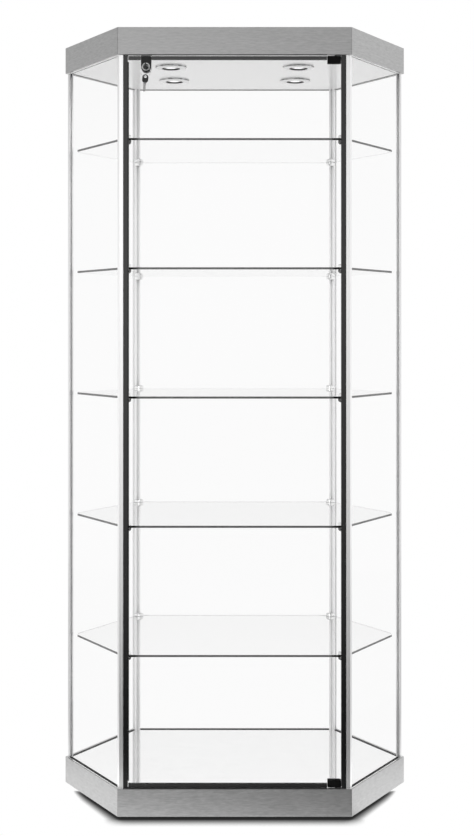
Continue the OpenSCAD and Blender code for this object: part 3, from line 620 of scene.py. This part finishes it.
bezel_nickel, tree, shader = new_material("satin_nickel")
here = add(tree, "ShaderNodeTexCoord").outputs
turning = noise(tree, here["Object"], SPECKLE)
upward = add(tree, "ShaderNodeSeparateXYZ", {"Vector": here["Normal"]}).outputs["Z"]
level = between(tree, reckon(tree, "ABSOLUTE", upward), start=0.3, end=0.9)
reflection_patches = noise(tree, here["Object"], REFLECTION_PATCH, 1.0)
patchy = between(tree, reflection_patches, start=0.4, end=0.6)
outer_wall_reflection = blend(tree, patchy, colour("#a0a0a0"), colour("#e0e0e0"))
quarter = vector(tree, "SIGN", here["Object"])
turned_in = vector(tree, "MULTIPLY", here["Normal"], quarter)
radial = along(tree, from_axis(tree, here["Object"]), turned_in)
outside = reckon(tree, "GREATER_THAN", radial, 0.0)
wall_tone_and_shade = blend(tree, outside, colour("#4a4a4a"), outer_wall_reflection)
connect(tree, shader, {
    "Base Color": blend(tree, level, wall_tone_and_shade, colour("#e2e2e2")),
    "Metallic": 0.5,
    "Roughness": between(tree, turning, 0.25, 0.4),
})
paint(bezel_nickel, "lamp_bezels")

# Lenses: domed pressed glass with prism rings that step down to the middle, frosted inside and lit from
# behind. A flange holds each one in its bezel.
LENS_FLANGE = 25.6 * MM
LENS_R = 21.9 * MM
LENS_T = 2.5 * MM
LENS_SEAT = 1.5 * MM
LENS_DROP = 4.5 * MM
PRISM_COUNT = 6
PRISM_LIP = 0.25 * MM
PRISM_RISE = 0.4
LENS_SMOOTH = math.radians(20)
SQUARE_ON = 0.9
ETCH_DEEP = 0.1 * MM
LIT_BY_RADIUS = ((0.4 * LENS_R, 0.95), (0.65 * LENS_R, 0.4), (LENS_R, 0.1))
frosted, tree, shader = new_material("frosted_lens_glass")
spot = spot_in(tree)
etch = noise(tree, spot, SPECKLE)
out_from = add(tree, "ShaderNodeVectorMath", {0: from_axis(tree, spot)}, operation="LENGTH")
lit = grey_along(tree, out_from.outputs["Value"], 0, LENS_FLANGE, *LIT_BY_RADIUS)
connect(tree, shader, {
    "Base Color": lit,
    "Roughness": 0.5,
    "Normal": bumps(tree, etch, 0.2, ETCH_DEEP),
    "Emission Color": lit,
    "Emission Strength": 0.4,
})
lens = rod(LENS_FLANGE, LENS_T, (0, 0, LENS_SEAT + LENS_T / 2), sides=64)
bpy.ops.object.mode_set(mode="EDIT")
pick("FACE", lambda face: face.normal.z < -SQUARE_ON)
bpy.ops.mesh.inset(thickness=LENS_FLANGE - LENS_R)
prism_w = LENS_R / (PRISM_COUNT + 1)
reached = 0.0
for prism in range(1, PRISM_COUNT + 1):
    down = LENS_DROP * math.cos(math.asin(1 - prism / (PRISM_COUNT + 1)))
    bpy.ops.mesh.inset(thickness=prism_w * PRISM_RISE, depth=down + PRISM_LIP - reached)
    bpy.ops.mesh.inset(thickness=prism_w * (1 - PRISM_RISE), depth=-PRISM_LIP)
    reached = down
bpy.ops.object.mode_set(mode="OBJECT")
bpy.ops.object.shade_smooth_by_angle(angle=LENS_SMOOTH)
lamps = [Matrix.Translation((x * LAMP_X, y * LAMP_Y, ceiling)) for x in (-1, 1) for y in (-1, 1)]
fit(place(lens, *lamps), "lamp_prism_lenses", frosted, "cabinet", "lens_glass", "lamp_lenses")
bpy.data.objects.remove(lens)

# Hinges and lock: zinc castings, the lock in satin black paint and the hinges in matt, clamped and screwed to
# the door's glass. The feet, the bushes and the transformer's case are moulded in black plastic.
paint(enamel("satin_black_paint", "#0c0c0c", rough=0.5), "lock_case", "lock_back")
paint(enamel("matt_black_paint", "#080808", rough=0.6, shine=0.15), "hinge_clamps")
black_plastic = enamel("black_moulded_plastic", "#202020", rough=0.5)
paint(black_plastic, "foot_pads", "transformer", "hinge_bushes")


def nickel(name, dark, light):
    """Nickel plate on brass: a soft grey metal, clouded between two greys: the faint cloudiness of handling
    where they are close, and painted reflection where they lie far apart.
    """
    made, tree, shader = new_material(name)
    cloud = noise(tree, spot_in(tree), PATCH, 3.0)
    connect(tree, shader, {
        "Base Color": blend(tree, cloud, colour(dark), colour(light)), "Metallic": 1.0, "Roughness": 0.28,
    })
    return made


paint(nickel("dark_nickel", "#343434", "#464646"), "lock_plug")
paint(nickel("nickel_with_painted_reflection", "#3a3a3a", "#e8e8e8"), "lock_collar")
blade_nickel = nickel("nickel_plate", "#8c8c8c", "#a0a0a0")

# Keys: nickelled blades with cuts in both edges and a milled groove, moulded into flat black plastic bows.
# One is in the lock, and the spare hangs from it on a split ring of spring wire wound twice round.
BOW_LEN = 20 * MM
BOW_R = 7 * MM
BOW_T = 2 * MM
BOW_GAP = 2 * MM
BOW_RIM = 1.5 * MM
BOW_PANEL = 0.35 * MM
EYE_R = 3.2 * MM
EYE_IN = 5.4 * MM
BLADE_LEN = 17.5 * MM
BLADE_H = 6.5 * MM
BLADE_T = 1.8 * MM
BLADE_ROOT = 4 * MM
GROOVE_HALF = 0.7 * MM
GROOVE_DEEP = 0.35 * MM
GROOVE_WALL = 0.15 * MM
CUTS = (0.5 * MM, 1.2 * MM, 0.3 * MM, 0.9 * MM, 1.3 * MM, 0.4 * MM)
CUT_PITCH = 2.2 * MM
FIRST_CUT = 3.0 * MM
TIP_SHARE = (0.7, 1, 0.4)
BOW_EDGE = 0.3 * MM
BLADE_EDGE = 0.12 * MM
NEAR = 0.1 * MM
QUARTER = math.radians(90)

bow = rod(BOW_R, BOW_T, (0, -BOW_GAP - BOW_LEN + BOW_R, 0), (0, QUARTER, 0), sides=64)
bpy.ops.object.mode_set(mode="EDIT")
pick("VERT", lambda v: v.co.y > -BOW_GAP - BOW_LEN + BOW_R + NEAR)
bpy.ops.transform.translate(value=(0, BOW_LEN - 2 * BOW_R, 0))
pick("FACE", lambda face: abs(face.normal.x) > SQUARE_ON)
bpy.ops.mesh.inset(thickness=BOW_RIM, depth=-BOW_PANEL, use_individual=True)
bpy.ops.object.mode_set(mode="OBJECT")
cut(bow, rod(EYE_R, 4 * BOW_T, (0, EYE_IN - BOW_GAP - BOW_LEN, 0), (0, QUARTER, 0)))
soften(bow, BOW_EDGE)

blade = block((-BLADE_T / 2, -BLADE_ROOT, -BLADE_H / 2), (BLADE_T / 2, BLADE_LEN, BLADE_H / 2))
bpy.ops.object.mode_set(mode="EDIT")
for half_step in range(2 * len(CUTS) + 1):
    bpy.ops.mesh.select_all(action="SELECT")
    bpy.ops.mesh.bisect(plane_co=(0, FIRST_CUT + half_step * CUT_PITCH / 2, 0), plane_no=(0, 1, 0))
for groove_edge in (-GROOVE_HALF, GROOVE_HALF):
    bpy.ops.mesh.select_all(action="SELECT")
    bpy.ops.mesh.bisect(plane_co=(0, 0, groove_edge), plane_no=(0, 0, 1))
for number, cut_deep in enumerate(CUTS):
    middle = FIRST_CUT + (number + 0.5) * CUT_PITCH
    for upper in (-1, 1):
        pick("VERT", lambda v: abs(v.co.y - middle) < NEAR and v.co.z * upper > BLADE_H / 2 - NEAR)
        bpy.ops.transform.translate(value=(0, 0, -upper * cut_deep))
pick("VERT", lambda v: v.co.y > BLADE_LEN - NEAR)
bpy.ops.transform.resize(value=TIP_SHARE, center_override=(0, BLADE_LEN, 0))
pick("FACE", lambda face: abs(face.normal.x) > SQUARE_ON
     and abs(face.calc_center_median().z) < GROOVE_HALF / 2
     and 0 < face.calc_center_median().y < FIRST_CUT + len(CUTS) * CUT_PITCH)
bpy.ops.mesh.inset(thickness=GROOVE_WALL, depth=-GROOVE_DEEP)
bpy.ops.object.mode_set(mode="OBJECT")
soften(blade, BLADE_EDGE)

# Split ring: chromed spring wire, wound twice round with its turns side by side, and its ends cut square. It
# passes through the eyes of both keys.
RING_R = 13 * MM
RING_WIRE = 0.38 * MM
RING_RISE = 0.8 * MM
RING_WINDS = 2
RING_STEPS = 128
chrome = chromed("polished_chrome")
bpy.ops.object.select_all(action="DESELECT")
bpy.ops.mesh.primitive_circle_add(
    vertices=10, radius=RING_WIRE, location=(RING_R, 0, -RING_RISE), rotation=(QUARTER, 0, 0))
bpy.ops.object.transform_apply(location=True, rotation=True, scale=True)
ring = bpy.context.object
shape_by(ring, "SCREW", axis="Z", angle=RING_WINDS * math.tau, screw_offset=RING_WINDS * RING_RISE,
         steps=RING_STEPS, render_steps=RING_STEPS, use_smooth_shade=True)
bpy.ops.object.mode_set(mode="EDIT")
bpy.ops.mesh.select_all(action="SELECT")
bpy.ops.mesh.fill_holes(sides=0)
bpy.ops.mesh.normals_make_consistent(inside=False)
bpy.ops.object.mode_set(mode="OBJECT")

# Key places: the first key's shoulder lies on the plug's face, the ring hangs in its eye, and the spare hangs
# from the ring, turned edge on and a little askew.
RING_TURN = math.radians(25)
SPARE_TURN = math.radians(85)
SPARE_TILT = math.radians(6)
key_low, key_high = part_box("key")
key_middle = (key_low + key_high) / 2
shoulder = Vector((key_middle.x, key_low.y + BOW_GAP + BOW_LEN, key_middle.z))
key_eye = shoulder + Vector((0, EYE_IN - BOW_GAP - BOW_LEN, 0))
in_lock = Matrix.Translation(shoulder)
on_ring = (
    Matrix.Translation(key_eye - Vector((0, 0, 2 * RING_R)))
    @ Matrix.Rotation(SPARE_TILT, 4, "Y")
    @ Matrix.Rotation(SPARE_TURN, 4, "Z")
    @ Matrix.Rotation(-QUARTER, 4, "X")
    @ Matrix.Translation((0, BOW_GAP + BOW_LEN - EYE_IN, 0))
)
hung = (
    Matrix.Translation(key_eye - Vector((0, 0, RING_R)))
    @ Matrix.Rotation(RING_TURN, 4, "Z")
    @ Matrix.Rotation(QUARTER, 4, "X")
)
fit(place(bow, in_lock), "key_bow", black_plastic, "lock_core", "black_plastic", "key")
fit(place(blade, in_lock), "key_blade", blade_nickel, "lock_core", "bright_steel")
fit(place(bow, on_ring), "spare_bow", black_plastic, "hanging_keys", "black_plastic", "spare_key")
fit(place(blade, on_ring), "spare_blade", blade_nickel, "hanging_keys", "bright_steel")
fit(place(ring, hung), "split_ring", chrome, "hanging_keys", "bright_steel", "key_ring")
for model in (bow, blade, ring):
    bpy.data.objects.remove(model)

# Stage: a pale paper sweep under the case, with a soft painted shadow round the base. What the metal and the
# glass mirror of it is a painted reflection: dim in front, brighter to the left, and white beside the case.
FLOOR_R = 3.2
FLOOR_BACK = 1.0
SHADOW_REACH = (
    (-0.3, 0.046), (-0.25, 0.026), (-0.12, 0.02), (-0.03, 0.006), (0.03, 0.006), (0.12, 0.02), (0.2, 0.026),
)
SHADOW_POWER = 4.0
SHADOW_LEAST = 0.022
FRONT_BY_DEPTH = ((-0.8, 0.02), (-0.62, 0.1), (-0.48, 0.46), (-0.32, 0.56), (-0.265, 0.64))
FRONT_LEFT = 1.5
FRONT_RIGHT = 0.6
BESIDE_BY_WIDTH = ((0.5, 1.28), (0.85, 0.7))
bpy.ops.object.select_all(action="DESELECT")
bpy.ops.mesh.primitive_circle_add(
    vertices=96, radius=FLOOR_R, fill_type="NGON", location=(0, FLOOR_BACK, 0))
bpy.ops.object.transform_apply(location=True)
floor = bpy.context.object
floor.name = "floor"
sweep, tree, shader = new_material("pale_floor")
connect(tree, shader, {"Base Color": colour("#e8e8e8"), "Roughness": 0.8})

at = coordinates(tree)
reach = grey_along(tree, at["Y"], -0.4, 0.4, *SHADOW_REACH)
near = add(tree, "ShaderNodeAmbientOcclusion", {"Distance": reach}, samples=32)
deep = reckon(tree, "POWER", near.outputs["AO"], SHADOW_POWER)
shade = add(tree, "ShaderNodeEmission", {"Strength": between(tree, deep, SHADOW_LEAST)})

# Painted reflection: the floor's tone in the metal and the glass, by depth and across.
front_tone = grey_along(tree, at["Y"], -2.2, 0.2, *FRONT_BY_DEPTH)
from_left = between(tree, at["X"], FRONT_LEFT, FRONT_RIGHT, start=-0.3, end=0.3)
in_front = add(tree, "ShaderNodeVectorMath", {0: front_tone, "Scale": from_left}, operation="SCALE")
beside = grey_along(tree, reckon(tree, "ABSOLUTE", at["X"]), 0, 2, *BESIDE_BY_WIDTH)
beyond = between(tree, at["Y"], start=-0.3, end=-0.2)
floor_glow = blend(tree, beyond, in_front.outputs["Vector"], beside)
plain = add(tree, "ShaderNodeEmission", {"Color": floor_glow, "Strength": 1.0})

rays = add(tree, "ShaderNodeLightPath").outputs
seen = reckon(tree, "MAXIMUM", rays["Is Camera Ray"], rays["Is Transmission Ray"])
unseen = either(tree, rays["Is Glossy Ray"], shader.outputs["BSDF"], plain.outputs["Emission"])
paper = either(tree, seen, unseen, shade.outputs["Emission"])
connect(tree, tree.nodes["Material Output"], {"Surface": paper})
floor.data.materials.append(sweep)

# Studio: white where it is seen, and a room of grey cards where it is mirrored. Each wall is a run of greys
# from low to high, the front one also from left to right, and the walls fade into each other.
FRONT_WALL = (
    (-1.0, 0.02), (-0.3, 0.06), (-0.12, 0.55), (0.0, 1.3), (0.1, 1.38), (0.18, 1.15), (0.32, 0.3), (0.6, 0.1),
)
FRONT_ACROSS = ((-0.5, 0.9), (-0.3, 1.75), (0.0, 1.05), (0.3, 0.35), (0.5, 0.9))
LEFT_WALL = ((-1.0, 1.0), (-0.08, 1.05), (0.1, 0.92), (0.15, 0.6), (0.2, 0.55), (0.5, 0.55))
RIGHT_WALL = ((-1.0, 1.0), (-0.08, 1.05), (0.1, 0.92), (0.2, 0.92), (0.5, 0.75))
BACK_WALL = ((0.0, 1.0), (0.1, 0.92), (0.2, 0.92), (0.3, 1.0))
AMBIENT_BACK = 1.15
AMBIENT_FRONT = 0.3
world = bpy.data.worlds.new("studio")
bpy.context.scene.world = world
world.use_nodes = True
tree = world.node_tree
looking = add(tree, "ShaderNodeTexCoord").outputs["Generated"]
way = add(tree, "ShaderNodeSeparateXYZ", {"Vector": looking}).outputs
ahead = between(tree, way["Y"], start=-0.15, end=-0.75, interpolation_type="SMOOTHSTEP")
behind = between(tree, way["Y"], start=0.65, end=0.85, interpolation_type="SMOOTHSTEP")
rightward = between(tree, way["X"], start=-0.5, end=0.5)

ambient = tree.nodes["Background"]
strength = between(tree, ahead, AMBIENT_BACK, AMBIENT_FRONT)
connect(tree, ambient, {"Color": colour("#ffffff"), "Strength": strength})

front_wall, left_wall, right_wall, back_wall = [
    grey_along(tree, way["Z"], -1, 1, *stops) for stops in (FRONT_WALL, LEFT_WALL, RIGHT_WALL, BACK_WALL)
]
front_across = grey_along(tree, way["X"], -1, 1, *FRONT_ACROSS)
front = vector(tree, "MULTIPLY", front_wall, front_across)
sides = blend(tree, rightward, left_wall, right_wall)
sides_and_front = blend(tree, ahead, sides, front)
room = blend(tree, behind, sides_and_front, back_wall)
cards = add(tree, "ShaderNodeBackground", {"Color": room, "Strength": 1.0})
backdrop = add(tree, "ShaderNodeBackground", {"Color": colour("#ffffff"), "Strength": 1.0})

rays = add(tree, "ShaderNodeLightPath").outputs
seen = reckon(tree, "MAXIMUM", rays["Is Camera Ray"], rays["Is Transmission Ray"])
unmirrored = either(tree, seen, ambient.outputs["Background"], backdrop.outputs["Background"])
mirrored = reckon(tree, "GREATER_THAN", rays["Glossy Depth"], 0.5)
studio = either(tree, mirrored, unmirrored, cards.outputs["Background"])
connect(tree, tree.nodes["World Output"], {"Surface": studio})

# Softboxes: two square lamps that hang in front, a strong one on the left and a weak one on the right. They
# light the matt parts and don't show in the metal.
SOFTBOX = 1.2


def softbox(name, at, aim, power):
    """A square area lamp that looks at a point."""
    lamp = bpy.data.lights.new(name, "AREA")
    lamp.size = SOFTBOX
    lamp.energy = power
    made = bpy.data.objects.new(name, lamp)
    made.location = at
    made.rotation_euler = (Vector(aim) - Vector(at)).to_track_quat("-Z", "Y").to_euler()
    made.visible_glossy = False
    bpy.context.scene.collection.objects.link(made)


softbox("key_softbox", at=(-0.7, -2.0, 2.8), aim=(0, -0.26, 1.3), power=22)
softbox("fill_softbox", at=(1.6, -2.2, 2.4), aim=(0, -0.26, 1.2), power=8)

# Camera: it stands level in front of the door, where the photograph's vanishing lines and the case's plan put
# it. Its lens is shifted, so the posts stay upright.
IMAGE_W = 474
IMAGE_H = 836
FOCAL_PX = 1468
HORIZON_PX = 328
CENTRE_PX = 234.7
CAMERA_AWAY = 3.385
CAMERA_UP = 1.135
SENSOR = 36
case_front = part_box("base_fascia")[0].y
camera = bpy.data.cameras.new("camera")
camera.sensor_width = SENSOR
camera.lens = FOCAL_PX / IMAGE_H * SENSOR
camera.shift_x = (IMAGE_W / 2 - CENTRE_PX) / IMAGE_H
camera.shift_y = (HORIZON_PX - IMAGE_H / 2) / IMAGE_H
tripod = bpy.data.objects.new("camera", camera)
tripod.location = (0, case_front - CAMERA_AWAY, CAMERA_UP)
tripod.rotation_euler = (QUARTER, 0, 0)
bpy.context.scene.collection.objects.link(tripod)
bpy.context.scene.camera = tripod
bpy.context.scene.view_settings.view_transform = "Standard"
bpy.context.scene.cycles.transparent_max_bounces = 48
bpy.context.scene.cycles.glossy_bounces = 12
